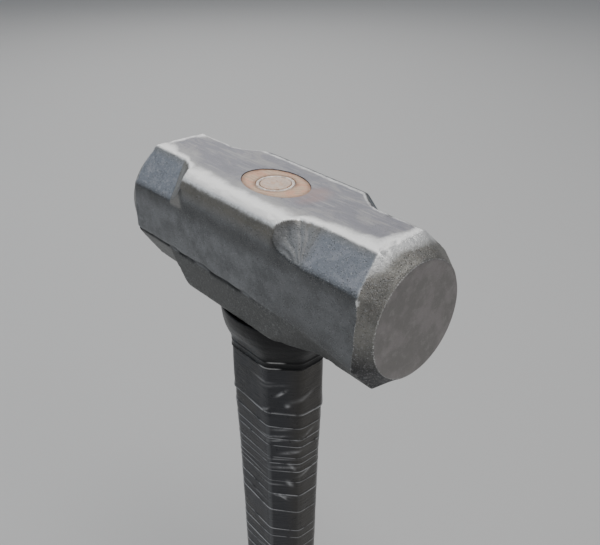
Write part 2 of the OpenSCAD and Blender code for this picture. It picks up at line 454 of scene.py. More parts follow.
def wound_tape(settings, name, gloss, wear_and_highlight):
    """Black tape: stretch marks round the grip, pale along its edges partly from rubbing and partly as
    painted highlight, with painted highlight on its facet corners and a front facet painted paler.
    """
    web = Web(name, IOR=1.41)
    edge, corner_highlight = web.painted("edge"), web.painted("corner_highlight")
    smears = web.cloud(9.0, 4.0, 0.6, 0.6)
    patches = web.cloud(3.2, 4.0, 0.6)
    pulls = web.cloud(1.0, 3.0, 0.6, at=web.stretched((0.14, 0.14, 1.6)))
    grain = web.cloud(0.5, 3.0)
    rubbed = edge * web.cloud(4.0, 3.0).step(0.26, 0.52)
    base = web.layered(
        tuple(settings.black),
        (smears.step(0.38, 0.66), (0.024, 0.026, 0.033)),
        (web.cloud(16.0, 2.0).step(0.50, 0.68) * 0.6, (0.034, 0.031, 0.026)),
        # Front facet painted paler where the light falls on it
        (web.painted("front") * (0.4 + smears), (0.040, 0.041, 0.047)),
        # Painted highlight along the facet corners
        (corner_highlight * (0.6 + 0.6 * patches) * wear_and_highlight, (0.105, 0.108, 0.115)),
        # The facets facing +X and -X are browner and lighter
        (web.painted("warm") * (0.3 + 0.9 * smears), (0.060, 0.054, 0.046)),
        # Pale stretch marks with painted sheen, strongest at the facet corners
        (pulls.step(0.60, 0.78) * (0.25 + 0.5 * corner_highlight) * wear_and_highlight, (0.10, 0.10, 0.105)),
        # Pale edges: partly rubbed tape, partly painted highlight
        (rubbed, tuple(settings.scuffed)),
    )
    roughness = gloss + 0.25 * (smears - 0.5) + 0.20 * (patches - 0.5) + 0.10 * rubbed
    relief = 0.9 * pulls + 0.2 * grain + 0.6 * patches
    return web.finish(base, roughness.clipped(), relief, 0.20 * MM)


def floor_paint(settings):
    """Plain pale floor with the faintest unevenness."""
    web = Web("floor_paint", IOR=1.45)
    drift = web.cloud(900.0, 2.0)
    base = web.mix(drift, tuple(settings.floor), tuple(0.965 * c for c in settings.floor))
    return web.finish(base, 0.62 + 0.08 * drift, web.cloud(2.0, 2.0), 0.02 * MM)


# ---------------------------------------------------------------- mesh tools


def skin(name, rings, closed=False):
    """A mesh over rings of points, with a fan over each end unless the rings are closed into a loop."""
    count, around = rings.shape[:2]
    points = rings.reshape(-1, 3)
    here = np.arange(around)
    ahead = (here + 1) % around
    faces = []
    for i in range(count if closed else count - 1):
        a, b = i * around, (i + 1) % count * around
        faces += np.stack([a + here, a + ahead, b + ahead, b + here], axis=1).tolist()
    if not closed:
        base, last = len(points), (count - 1) * around
        points = np.vstack([points, rings[0].mean(axis=0), rings[-1].mean(axis=0)])
        faces += np.stack([ahead, here, np.full(around, base)], axis=1).tolist()
        faces += np.stack([last + here, last + ahead, np.full(around, base + 1)], axis=1).tolist()
    mesh = bpy.data.meshes.new(name)
    mesh.from_pydata(points.tolist(), [], faces)
    obj = bpy.data.objects.new(name, mesh)
    bpy.context.scene.collection.objects.link(obj)
    return obj


def outward(obj, sharp=math.radians(38)):
    """Turns every face outward, shades smooth and keeps corners over the sharp angle crisp."""
    shape = bmesh.new()
    shape.from_mesh(obj.data)
    bmesh.ops.recalc_face_normals(shape, faces=shape.faces)
    for f in shape.faces:
        f.smooth = True
    for e in shape.edges:
        e.smooth = e.calc_face_angle(0.0) < sharp
    shape.to_mesh(obj.data)
    shape.free()


def mesh_points(obj):
    """Every point of the mesh, as an array."""
    flat = np.empty(3 * len(obj.data.vertices))
    obj.data.vertices.foreach_get("co", flat)
    return flat.reshape(-1, 3)


def paint(obj, name, values):
    """Stores one value for each point of the mesh, for the material to read."""
    layer = obj.data.attributes.new(name, "FLOAT", "POINT")
    layer.data.foreach_set("value", np.ascontiguousarray(values, dtype=np.float32))


def roughness_at(points, size, seed, octaves=3):
    """Smooth random relief from about -1 to 1, whose lumps are size metres across."""
    shift = Vector((seed * 7.31, seed * 3.17, seed * 5.77))
    flat = np.asarray(points).reshape(-1, 3) / size
    values = [noise.fractal(Vector(p) + shift, 1.0, 2.0, octaves) for p in flat.tolist()]
    return np.array(values).reshape(np.asarray(points).shape[:-1])


def smooth(low, high, value):
    """0 at low and 1 at high with a smooth change between; low may be the higher of the two."""
    share = np.clip((value - low) / (high - low), 0.0, 1.0)
    return share * share * (3 - 2 * share)


def rounded(directions, planes, crispness):
    """Radius of a section bounded by (y, z, distance) planes, its corners rounded by the crispness."""
    girth = 20 * MM
    total = 0.0
    for across, up, reach in planes:
        facing = np.clip(directions[0] * across + directions[1] * up, 0.0, None)
        total = total + (facing * girth / reach) ** crispness
    return girth * total ** (-1.0 / crispness)


def dress(obj, node, material):
    """Gives a finished piece its material and its place in the frame."""
    obj.data.materials.clear()
    obj.data.materials.append(material)
    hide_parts(node)
    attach(obj, "root")


# ---------------------------------------------------------------- the head


def line_plane(p, q):
    """Unit normal and distance of the plane through two (y, z) points, facing away from the axis."""
    run = (q[0] - p[0], q[1] - p[1])
    size = np.hypot(*run)
    normal = (-run[1] / size, run[0] / size)
    reach = normal[0] * p[0] + normal[1] * p[1]
    turn = np.sign(reach)
    return normal[0] * turn, normal[1] * turn, reach * turn


class HeadShape:
    """The head's sections as flat planes whose chamfers run out, as hollows, into the cheeks."""

    CRISPNESS = 120
    UPPER_RISE = 7.4 * MM
    LOWER_RISE = 7.2 * MM
    # For each end and side: where the hollow starts, how far that moves in down the chamfer, the
    # hollow's length, the length's growth down the chamfer, its first slope and its steepening
    UPPER = {
        (1, -1): (37.2 * MM, 0.0, 12.8 * MM, 3.2 * MM, 0.28, 13.0),
        (1, 1): (38.0 * MM, 0.0, 14.5 * MM, 0.0, 0.35, 2.0),
        (-1, -1): (39.6 * MM, 3.0 * MM, 11.0 * MM, -1.0 * MM, 0.50, 4.0),
        (-1, 1): (38.5 * MM, 0.0, 15.0 * MM, 0.0, 0.35, 2.0),
    }
    LOWER = {
        1: (36.5 * MM, 0.0, 22.5 * MM, 0.0, 0.95, 2.0),
        -1: (39.5 * MM, 0.0, 12.0 * MM, 0.0, 1.55, 2.0),
    }
    # Slope of the hollows past their run
    STEEP = 5.0
    # How many millimetres outside its mean place each end's bevel starts, by bearing in degrees:
    # at the front's corners and at places between them
    BEARINGS = (0.0, 66.0, 113.6, 131.6, 149.6, 180.0, 212.3, 243.9, 300.0, 360.0)
    LEAN = {
        1: (0.0, -1.2, -0.7, 0.5, 1.7, 1.0, 0.2, 1.2, 0.3, 0.0),
        -1: (0.0, -0.6, 0.5, 2.3, 1.8, 3.0, 3.6, 2.6, 0.4, 0.0),
    }
    # Where the skew of the bevels begins, along the head
    BEND = 44 * MM

    def __init__(self, settings):
        self.s = settings
        self.end = HALF_L - settings.bevel

    def lean(self, x, angle):
        """How far outside its mean place the bevel starts."""
        degrees = np.degrees(angle) % 360.0
        near, far = (np.interp(degrees, self.BEARINGS, self.LEAN[end]) * MM for end in (1, -1))
        return np.where(x > 0, near, far)

    def leaned(self, x, angle):
        """Where a section's point lies once the bevels are skewed."""
        reach = np.abs(x)
        share = np.interp(reach, [self.BEND, self.end, HALF_L], [0.0, 1.0, 0.0])
        return np.sign(x) * (reach + self.lean(x, angle) * share)

    def straight(self, x, angle):
        """The section that a leaned point belongs to."""
        reach = np.abs(x)
        edge = self.end + self.lean(x, angle)
        before = self.BEND + (reach - self.BEND) * (self.end - self.BEND) / (edge - self.BEND)
        after = HALF_L - (HALF_L - reach) * (HALF_L - self.end) / (HALF_L - edge)
        bent = np.where(reach < edge, before, after)
        return np.sign(x) * np.where(reach < self.BEND, reach, bent)

    def rise(self, x, down, hollow, full):
        """How far a chamfer's plane has moved outward at x, up to full at the end of the hollow's run."""
        start, skew, run, growth, slope, power = hollow
        run = run + growth * down
        share = np.clip((start - skew * down - x) / run, 0.0, None)
        inside = np.clip(share, 0.0, 1.0)
        beyond = np.clip(share - 1.0, 0.0, None)
        return full * (slope * inside + (1 - slope) * inside**power) + self.STEEP * run * beyond

    def side_foot(self, x):
        """Height of the side's lower edge, which drops towards the near end."""
        drop = 4.0 * MM * np.clip((x - 30 * MM) / (30 * MM), 0.0, 1.0) ** 1.6
        return self.s.foot_chamfer - HALF_H - drop

    def planes(self, x, angle):
        """Every plane of the sections at x, as its name and its (y, z, distance)."""
        s = self.s
        found = {"top": (0.0, 1.0, HALF_H), "foot": (0.0, -1.0, HALF_H)}
        from_top = np.abs(np.arctan2(np.cos(angle), np.sin(angle)))
        down = np.clip((from_top - math.radians(24)) / math.radians(36), 0, 1)
        foot = self.side_foot(x)
        upper = line_plane((s.top_flat, HALF_H), (HALF_W, HALF_H - s.top_chamfer + 0.028 * x))
        lower = line_plane((s.foot_flat, -HALF_H), (HALF_W, foot))
        brow = line_plane((HALF_W - 4.5 * MM, HALF_H), (HALF_W - 1.2 * MM, HALF_H - 1.5 * MM))
        shoulder = line_plane((HALF_W - 1.2 * MM, HALF_H - 1.5 * MM), (HALF_W, HALF_H - 5.4 * MM))
        belly = line_plane((HALF_W - 1.9 * MM, -HALF_H), (HALF_W, foot))
        heel = line_plane((HALF_W - 3.0 * MM, -HALF_H), (HALF_W - 1.6 * MM, 1.4 * MM - HALF_H))
        trims = {"brow": brow, "shoulder": shoulder, "belly": belly, "heel": heel}
        reach = np.abs(x)
        for side, hand in ((-1, "front"), (1, "back")):
            above = [self.rise(reach, down, self.UPPER[(end, side)], self.UPPER_RISE) for end in (1, -1)]
            below = [self.rise(reach, down, self.LOWER[end], self.LOWER_RISE) for end in (1, -1)]
            raised = upper[2] + np.where(x > 0, *above)
            lowered = lower[2] + np.where(x > 0, *below)
            found[hand + " side"] = (side, 0.0, HALF_W)
            found[hand + " upper"] = (side * upper[0], upper[1], raised)
            found[hand + " lower"] = (side * lower[0], lower[1], lowered)
            for name, (across, up, distance) in trims.items():
                found[f"{hand} {name}"] = (side * across, up, distance)
        return found

    def face_radius(self, angle):
        """Radius of the striking faces, which are slightly oval."""
        return 1.0 / np.hypot(np.cos(angle) / self.s.face_width, np.sin(angle) / self.s.face_height)

    def radius(self, x, angle):
        """Radius of the section at x: an octagon that tapers, past each end's bevel, to the face."""
        planes = self.planes(x, angle).values()
        octagonal = rounded((np.cos(angle), np.sin(angle)), planes, self.CRISPNESS)
        past = (np.abs(x) - self.end) / self.s.bevel
        softness = 0.03
        taper = (past + np.sqrt(past * past + softness * softness)) / 2
        return octagonal + np.minimum(taper, 1.0) * (self.face_radius(angle) - octagonal)


class HeadMap:
    """For each point of the head: the plane it lies on and how far it is from every other plane's edge."""

    def __init__(self, shape, points):
        self.x, self.y, self.z = points.T
        self.angle = np.arctan2(self.z, self.y)
        self.along = shape.straight(self.x, self.angle)
        planes = shape.planes(self.along, self.angle)
        self.names = list(planes)
        across, up, reach = (
            np.stack([np.broadcast_to(plane[i], self.x.shape) for plane in planes.values()])
            for i in range(3)
        )
        normals = np.stack([across, up], axis=-1)
        depth = reach - (across * self.y + up * self.z)
        self.own = depth.argmin(axis=0)
        facing = (normals * normals[self.own, np.arange(self.x.size)]).sum(axis=-1)
        spread = np.sqrt(np.clip(1.0 - facing**2, 1e-4, None))
        self.away = np.where(facing < 0.985, depth / spread, 1.0)
        self.beyond = np.abs(self.along) - shape.end
        self.near = self.x > 0

    def on(self, *names):
        """1 on the named planes, up to the bevels."""
        chosen = [self.names.index(n) for n in names]
        return np.isin(self.own, chosen) * (self.beyond < 0)

    def beside(self, name, other, reach):
        """On one plane, 1 at its edge with another and 0 at the reach."""
        return self.on(name) * np.clip(1 - self.away[self.names.index(other)] / reach, 0.0, 1.0)

    def nearest(self):
        """Distance to the nearest edge between two planes."""
        others = np.arange(len(self.names))[:, None] != self.own
        return np.where(others, self.away, 1.0).min(axis=0)


def head_rings(shape, around):
    """Rings of points from the far face's centre to the near face's centre."""
    end, half = shape.end, HALF_L
    rim = 0.45 * MM
    # Millimetres from the middle, closest together in the hollows and at the bevels' edges
    stations = np.unique(np.concatenate([
        np.linspace(0, 12, 14), np.linspace(12, 20, 18), np.linspace(20, 27, 30), np.linspace(27, 38, 34),
        np.linspace(38, end / MM - 1.2, 34), np.linspace(end / MM - 1.2, end / MM + 1.2, 13),
        np.linspace(end / MM + 1.2, (half - rim) / MM, 14),
    ])) * MM
    x = np.concatenate([-stations[::-1], stations[1:]])[:, None]
    angle = np.linspace(0, TURN, around, endpoint=False)[None, :]
    body = shape.radius(x, angle)
    rings = np.stack([shape.leaned(x, angle), body * np.cos(angle), body * np.sin(angle)], axis=-1)

    lip = shape.face_radius(angle[0])
    circles = [(half - 0.24 * MM, lip - 0.07 * MM), (half - 0.07 * MM, lip - 0.24 * MM), (half, lip - rim)]
    circles += [(half, (lip - rim) * share) for share in np.linspace(0.97, 0.04, 18)]
    across, up = np.cos(angle[0]), np.sin(angle[0])
    near = np.array([np.stack([np.full(around, at), r * across, r * up], axis=-1) for at, r in circles])
    far = near[::-1] * np.array([-1.0, 1.0, 1.0])
    return np.concatenate([far, rings, near])


def hollow_share(part):
    """1 in the hollows where the upper chamfers run out, 0 elsewhere."""
    reach = np.abs(part.x)
    along = smooth(38 * MM, 35 * MM, reach) * smooth(18 * MM, 21 * MM, reach)
    return along * part.on("front upper", "back upper")


def forge_marks(shape, points):
    """How far the hammered, chipped and hollowed surface lies under the ideal one."""
    part = HeadMap(shape, points)
    x, y, z = points.T
    on_face = smooth(HALF_L - 1.0 * MM, HALF_L - 0.2 * MM, np.abs(x))
    lumps = 0.5 + 0.5 * roughness_at(points, 12 * MM, 1)
    pits = 0.5 + 0.5 * roughness_at(points, 2.4 * MM, 2)
    depth = (0.12 * lumps + 0.07 * pits) * MM * (1 - 0.85 * on_face)

    near_edge = smooth(2.4 * MM, 0.2 * MM, np.minimum(part.nearest(), np.abs(part.beyond))) * (1 - on_face)
    chips = np.clip(roughness_at(points, 4.2 * MM, 3, 2) - 0.15, 0.0, None)
    depth = depth + 0.55 * MM * chips * near_edge

    # Ridges fan out over each upper hollow from its lowest corner
    along, up = np.abs(x) - 37 * MM, z - 12.5 * MM
    fan, far_out = np.arctan2(up, along), np.hypot(up, along)
    ridges = 0.5 + 0.5 * np.sin(fan * 23 + 2.6 * roughness_at(points, 6 * MM, 4, 2))
    depth = depth + 0.30 * MM * ridges**2 * hollow_share(part) * smooth(0.5 * MM, 4 * MM, far_out)
    return depth + 0.60 * MM * seam_share(shape, part)


def seam_share(shape, part):
    """Strength of the forging seam that follows the side's lower edge."""
    x, y, z = part.x, part.y, part.z
    wander = np.array([noise.noise(Vector((px / (6.5 * MM), py / (40 * MM), 4.2))) for px, py in zip(x, y)])
    line = shape.side_foot(x) + (1.3 * wander + 0.3) * MM
    strength = smooth(48 * MM, 30 * MM, np.abs(x + 28 * MM)) * (0.5 + 0.5 * smooth(0.3, -0.2, wander))
    on_side = smooth(HALF_W - 1.6 * MM, HALF_W - 0.7 * MM, np.abs(y))
    return strength * on_side * np.exp(-(((z - line) / (0.50 * MM)) ** 2))


def paint_head(head, shape):
    """Stores where the steel is rubbed bright (partly painted highlight), browned, pitted and ground, and
    where it gets painted shade and painted light.
    """
    points = mesh_points(head)
    part = HeadMap(shape, points)
    x, y, z = points.T
    beyond = part.beyond
    outside = (beyond > 0) * 1.0
    lip = np.hypot(y, z) - shape.face_radius(part.angle)
    on_face = smooth(HALF_L - 0.4 * MM, HALF_L - 0.15 * MM, np.abs(x)) * smooth(0.1 * MM, -0.3 * MM, lip)
    bevel = outside * (1 - on_face) * np.where(part.near, 1.0, 0.35)
    mouth = np.hypot(x / shape.s.eye_length, y / shape.s.eye_width)
    in_eye = (mouth < 1.02) & (np.abs(z) < HALF_H - 0.1 * MM)

    beside = part.beside
    ragged = 1.1 + 0.30 * roughness_at(points, 7 * MM, 31)
    # Width of the bright strip on top, at places along the front edge, in millimetres
    places, widths = [-59, -48, -37, -30, 22, 30, 36, 46, 59], [7.0, 3.4, 2.0, 4.6, 5.4, 4.0, 4.2, 5.6, 9.5]
    along_front = np.interp(x / MM, places, widths) * MM * ragged
    # The same across the near end
    near_end = np.interp(y / MM, [-11, 0, 11], [8.5, 5.5, 4.5]) * MM * ragged
    on_top, on_upper = part.on("top"), part.on("front upper")
    middle = smooth(-35.0 * MM, -29.5 * MM, x)
    # Bright strips along the edges, partly worn steel and partly painted highlight; on the front brow,
    # which tilts towards the light, the strip is painted highlight
    rubbed = [
        beside("top", "front upper", along_front),
        middle * beside("top", "front brow", 6.0 * MM * ragged),
        1.2 * middle * beside("front brow", "top", 6.0 * MM),
        0.6 * middle * beside("front shoulder", "front brow", 1.8 * MM * ragged),
        0.8 * beside("front upper", "top", 1.2 * MM * ragged),
        0.8 * beside("top", "back upper", 1.5 * MM * ragged),
        0.8 * beside("top", "back brow", 1.9 * MM * ragged),
        0.7 * beside("back brow", "top", 1.8 * MM),
        on_top * part.near * np.clip(1 + beyond / near_end, 0, 1),
        0.8 * on_top * ~part.near * np.clip(1 + beyond / (2.6 * MM * ragged), 0, 1),
        0.9 * on_top * smooth(9 * MM, 0.0, np.hypot(x + 60 * MM, y - 11 * MM)),
        0.3 * on_upper * ~part.near * np.clip(1 + beyond / (0.9 * MM), 0, 1),
        0.32 * on_upper * part.near * np.clip(1 + beyond / (0.9 * MM * ragged), 0, 1),
        0.9 * outside * smooth(17 * MM, 23 * MM, z) * np.clip(1 - beyond / (4.4 * MM * ragged), 0, 1),
    ]

    # Sparks along the front of the near bevel's edge, and round the lip of each face
    end_edge = part.near * (y < 0) * (z < 17 * MM) * (z > -14 * MM)
    close = 0.28 + 0.50 * smooth(2.6 * MM, 0.0, np.abs(z - 12.5 * MM))
    edge_line = end_edge * close * np.clip(1 - np.abs(beyond) / ((0.4 + close) * MM), 0, 1)
    at_face = smooth(HALF_L - 0.7 * MM, HALF_L - 0.3 * MM, np.abs(x))
    lip_line = 0.42 * (np.clip(1 - np.abs(lip) / (0.5 * MM), 0, 1) * at_face)

    # The underside is painted darker as shade
    under = part.on("foot", *[h + k for h in ("front", "back") for k in (" belly", " heel", " lower")])
    # Painted shade low on each side, towards the near end
    low_side_shade = (0.35 + 0.45 * smooth(6 * MM, 0.0, z - shape.side_foot(x))) * smooth(6 * MM, 38 * MM, x)
    painted_side_shade, tint, chamfer = 0.0, 0.0, 0.0
    # Painted shade on each side beside its upper chamfer and under the brow, and on each chamfer beside the
    # side
    for hand in ("front ", "back "):
        beside_chamfer = part.beside(hand + "side", hand + "upper", 7.0 * MM)
        on_side = part.on(hand + "side")
        below_brow = on_side * smooth(6.5 * MM, 0.0, np.abs(z - 12 * MM)) * (np.abs(x) < 34 * MM)
        painted_side_shade = painted_side_shade + np.maximum.reduce([beside_chamfer, 0.8 * below_brow, on_side * low_side_shade])
        painted_side_shade = painted_side_shade + part.beside(hand + "upper", hand + "side", 2.4 * MM)
        shoulder = part.on(hand + "shoulder")
        warm = np.maximum(shoulder, part.beside(hand + "side", hand + "shoulder", 4.5 * MM))
        above = part.beside(hand + "upper", "top", 3.6 * MM)
        tint = tint + warm + above + part.beside(hand + "brow", hand + "shoulder", 1.8 * MM)
        chamfer = chamfer + part.on(hand + "upper")

    # A strip of painted light runs down from the crease where the far front hollow starts; the near front
    # chamfer gets painted light too
    start, skew = shape.UPPER[(-1, -1)][:2]
    past_crease = x + start - skew * smooth(23 * MM, 13 * MM, z)
    strip = smooth(0.0, 0.6 * MM, past_crease) * smooth(8.8 * MM, 6.4 * MM, past_crease)
    painted_ramp_light = strip * (y < 0) * smooth(9.6 * MM, 11.4 * MM, z) * (1 - on_top)
    painted_ramp_light = np.maximum(painted_ramp_light, 0.55 * on_upper * part.near * smooth(39 * MM, 34 * MM, x))
    # A brown stain beside the eye
    blot = np.hypot((x - 16.5 * MM) / (6 * MM), (y - 2 * MM) / (8 * MM))

    values = {
        "wear_and_highlight": np.where(in_eye, 0.0, np.max(rubbed, axis=0)),
        "glint": np.maximum(edge_line, lip_line),
        "tint": np.clip(tint, 0, 1),
        "painted_side_shade": np.clip(painted_side_shade, 0, 1) * (1 - 0.8 * painted_ramp_light),
        "top": part.on("top") + 0.5 * part.on("front brow", "back brow"),
        "chamfer": chamfer * (1 - painted_ramp_light),
        "painted_ramp_light": painted_ramp_light,
        "face": on_face,
        "bevel": bevel,
        "shade": bevel * smooth(4 * MM, -14 * MM, z),
        "rusty": np.maximum(bevel * smooth(-4 * MM, 12 * MM, z), 0.30 * np.clip(painted_side_shade, 0, 1)),
        "under": under,
        # The seam's dark line is partly painted shadow in its groove; the eye's walls are painted dark as
        # shade
        "seam": np.maximum(seam_share(shape, part), 0.7 * in_eye),
        # Haze beside the front edges: the soft edge of the bright strip and of its painted highlight
        "hazy": np.maximum(beside("top", "front upper", 8 * MM), beside("top", "front brow", 11 * MM)),
        "stain": smooth(1.3, 0.5, blot) * part.on("top"),
    }
    for name, value in values.items():
        paint(head, name, value)


def eye_cutter(settings):
    """The hourglass eye, with a small bevel at each mouth."""
    bevel, reach = 0.16 * MM, 2.0 * MM
    angle = np.linspace(0, TURN, 128, endpoint=False)
    # Height, share of the mouth's size, and what is added to it
    levels = [
        (0.0, EYE_WAIST, 0.0), (HALF_H - bevel, 1.0, 0.0), (HALF_H, 1.0, bevel),
        (HALF_H + reach, 1.0, bevel),
    ]
    levels = [(-h, w, g) for h, w, g in levels[:0:-1]] + levels
    rings = [
        np.stack([
            (w * settings.eye_length + g) * np.cos(angle),
            (w * settings.eye_width + g) * np.sin(angle),
            np.full(angle.size, h),
        ], axis=-1)
        for h, w, g in levels
    ]
    return skin("eye_cutter", np.array(rings))


def cut_away(obj, cutter):
    """Subtracts the cutter from the piece and removes it."""
    outward(cutter)
    tool = obj.modifiers.new("eye", "BOOLEAN")
    tool.operation = "DIFFERENCE"
    tool.solver = "EXACT"
    tool.object = cutter
    seen = bpy.context.evaluated_depsgraph_get()
    cut = bpy.data.meshes.new_from_object(obj.evaluated_get(seen))
    obj.modifiers.clear()
    obj.data = cut
    bpy.data.objects.remove(cutter)


def build_head(settings):
    """Forged head: its sections, sunk by the forging's marks, with the eye cut through."""
    shape = HeadShape(settings)
    rings = head_rings(shape, 340)
    points = rings.reshape(-1, 3)
    depth = forge_marks(shape, points)
    reach = np.hypot(points[:, 1], points[:, 2])
    flat_face = np.abs(points[:, 0]) > HALF_L - 0.05 * MM
    shrink = np.where(flat_face, 0.0, depth / np.maximum(reach, 1 * MM))
    points[:, 1:] *= (1 - shrink)[:, None]
    points[:, 0] -= np.where(flat_face, np.sign(points[:, 0]) * depth, 0.0)

    head = skin("forged_head", points.reshape(rings.shape))
    outward(head)
    cut_away(head, eye_cutter(settings))
    outward(head)
    paint_head(head, shape)
    head.data.transform(Matrix.Translation((0, 0, HEAD_Z)))
    dress(head, "head", forged_steel(settings))


# ---------------------------------------------------------------- the handle


# Half widths of the grip's flats, as shares of its half sizes
FLAT_X, FLAT_Y = 0.507, 0.366
# The grip's half sizes at heights up to the collar, as shares of the largest
GRIP_HEIGHTS = np.array([4.0, 28.0, 55.0, 80.0, 145.0, BAND_LOW[2] / MM, COLLAR_LOW[2] / MM]) * MM
WAIST, SWELL = 0.88, 0.97
GRIP_SHARES = np.array([SWELL, SWELL, (SWELL + WAIST) / 2, WAIST, (1 + WAIST) / 2, 1.0, 1.0])
GRIP_HALF = (HANDLE_HIGH - HANDLE_LOW)[:2] / 2


def grip_radius(z, angle, grow, crispness=34):
    """Radius of the octagonal grip at a height, grown evenly by a thickness."""
    share = np.interp(z, GRIP_HEIGHTS, GRIP_SHARES)
    a = GRIP_HALF[0] * share + grow
    b = GRIP_HALF[1] * share + grow
    corner = line_plane((a, FLAT_Y * b), (FLAT_X * a, b))
    planes = [(1, 0, a), (-1, 0, a), (0, 1, b), (0, -1, b)]
    planes += [(i * corner[0], j * corner[1], corner[2]) for i in (1, -1) for j in (1, -1)]
    return rounded((np.cos(angle), np.sin(angle)), planes, crispness)


def oval_radius(a, b, angle):
    """Radius of an oval with the half sizes a and b."""
    return 1.0 / np.hypot(np.cos(angle) / a, np.sin(angle) / b)


def ring_at(z, radius, angle):
    """A ring of points round the handle's axis."""
    x, y = radius * np.cos(angle), radius * np.sin(angle)
    return np.stack([x, y, np.broadcast_to(z, radius.shape)], axis=-1)


def build_handle(settings):
    """Octagonal shaft with a rounded butt, an oval neck and the tenon whose end grain fills the eye."""
    around = 160
    angle = np.linspace(0, TURN, around, endpoint=False)
    round_off, slack = settings.rounding, 0.02 * MM
    butt = grip_radius(GRIP_HEIGHTS[0], angle, 0)
    rings = [ring_at(0.0, r * (butt - round_off), angle) for r in np.linspace(0.06, 0.9, 9)]
    for a in np.radians([0, 15, 30, 45, 60, 75, 90]):
        inset = round_off * (1 - math.sin(a))
        rings.append(ring_at(round_off * (1 - math.cos(a)), butt - inset, angle))
    for z in np.linspace(5 * MM, COLLAR_LOW[2], 60):
        rings.append(ring_at(z, grip_radius(z, angle, -slack), angle))

    foot = HEAD_LOW[2]
    neck = oval_radius(NECK_LENGTH, NECK_WIDTH, angle)
    octagonal = grip_radius(COLLAR_LOW[2], angle, -slack)
    for share in np.linspace(0.1, 1.0, 12):
        z = COLLAR_LOW[2] + share * (foot - COLLAR_LOW[2])
        rings.append(ring_at(z, octagonal + share * (neck - octagonal), angle))
    top = HANDLE_HIGH[2] - 0.10 * MM
    gap = 0.03 * MM
    mouth_a, mouth_b = EYE_LENGTH - gap, EYE_WIDTH - gap
    for z in np.linspace(foot, top - 0.5 * MM, 14):
        share = EYE_WAIST + (1 - EYE_WAIST) * abs(z - HEAD_Z) / HALF_H
        rings.append(ring_at(z, oval_radius(share * mouth_a, share * mouth_b, angle), angle))
    for drop, inset in [(0.16, 0.0), (0.04, 0.08), (0.0, 0.22)]:
        rings.append(ring_at(top - drop * MM, oval_radius(mouth_a, mouth_b, angle) - inset * MM, angle))

    # The end grain, and in it the groove that holds the wedge
    wedge_gap, groove_depth = 0.16 * MM, 3.0 * MM
    outer = WEDGE_HIGH[0] + wedge_gap
    inner = WEDGE_HIGH[0] - WEDGE_WALL - wedge_gap
    rim = oval_radius(mouth_a, mouth_b, angle) - 0.8 * MM
    for share in np.linspace(0.0, 1.0, 9):
        rings.append(ring_at(top, rim + share * (outer - rim), angle))
    groove = [
        (outer - 0.05 * MM, 0.5 * MM), (outer - 0.1 * MM, groove_depth),
        (inner + 0.1 * MM, groove_depth), (inner + 0.05 * MM, 0.5 * MM),
    ]
    for r, drop in groove:
        rings.append(ring_at(top - drop, np.full(around, r), angle))
    for r in np.linspace(inner, 0.3 * MM, 9):
        rings.append(ring_at(top + 0.15 * MM * (1 - r / inner), np.full(around, r), angle))

    handle = skin("wooden_handle", np.array(rings))
    points = mesh_points(handle)
    relief = 0.09 * MM * roughness_at(points, 2.2 * MM, 8)
    raised = points[:, 2] > top - 0.2 * MM
    on_end = raised | (points[:, 2] < 0.05 * MM)
    points[:, 2] += np.where(raised, relief, 0.0)
    handle.data.vertices.foreach_set("co", points.ravel())
    outward(handle)
    paint(handle, "end", on_end)
    reach = np.hypot(points[:, 0], points[:, 1])
    paint(handle, "core", raised * (reach < inner))
    at_mouth = smooth(0.84, 1.0, np.hypot(points[:, 0] / mouth_a, points[:, 1] / mouth_b))
    at_wedge = 0.8 * smooth(1.3 * MM, 0.2 * MM, np.abs(reach - outer))
    paint(handle, "grime", raised * np.maximum(at_mouth, at_wedge))
    dress(handle, "handle", handle_wood(settings))


def build_wedge(settings):
    """Round wedge: a tapering tube whose top is rounded over and dimpled by the hammer."""
    angle = np.linspace(0, TURN, 120, endpoint=False)
    outer, wall = WEDGE_HIGH[0], settings.wall
    top, tip = WEDGE_HIGH[2], WEDGE_LOW[2]
    # How far each side of the wall lies inside its widest place, from the tip up to the top
    insets = [
        (0.4 * MM, tip), (0.15 * MM, top - 4 * MM), (0.0, top - 0.6 * MM),
        (0.06 * MM, top - 0.28 * MM), (0.28 * MM, top - 0.06 * MM), (0.5 * MM, top),
    ]
    profile = [(outer - inset, z) for inset, z in insets]
    profile += [(outer - wall / 2, top + 0.02 * MM)]
    profile += [(outer - wall + inset, z) for inset, z in reversed(insets)]
    rings = np.array([ring_at(z, np.full(angle.size, r), angle) for r, z in profile])
    flat = rings.reshape(-1, 3)
    dimples = 0.16 * MM * np.clip(roughness_at(flat, 2.0 * MM, 11, 2), -1.0, 0.0)
    flat[:, 2] += np.where(flat[:, 2] > top - 0.4 * MM, dimples, 0.0)
    wedge = skin("round_wedge", flat.reshape(rings.shape), closed=True)
    outward(wedge)
    dress(wedge, "ring_wedge", wedge_steel(settings))


# ---------------------------------------------------------------- the collar


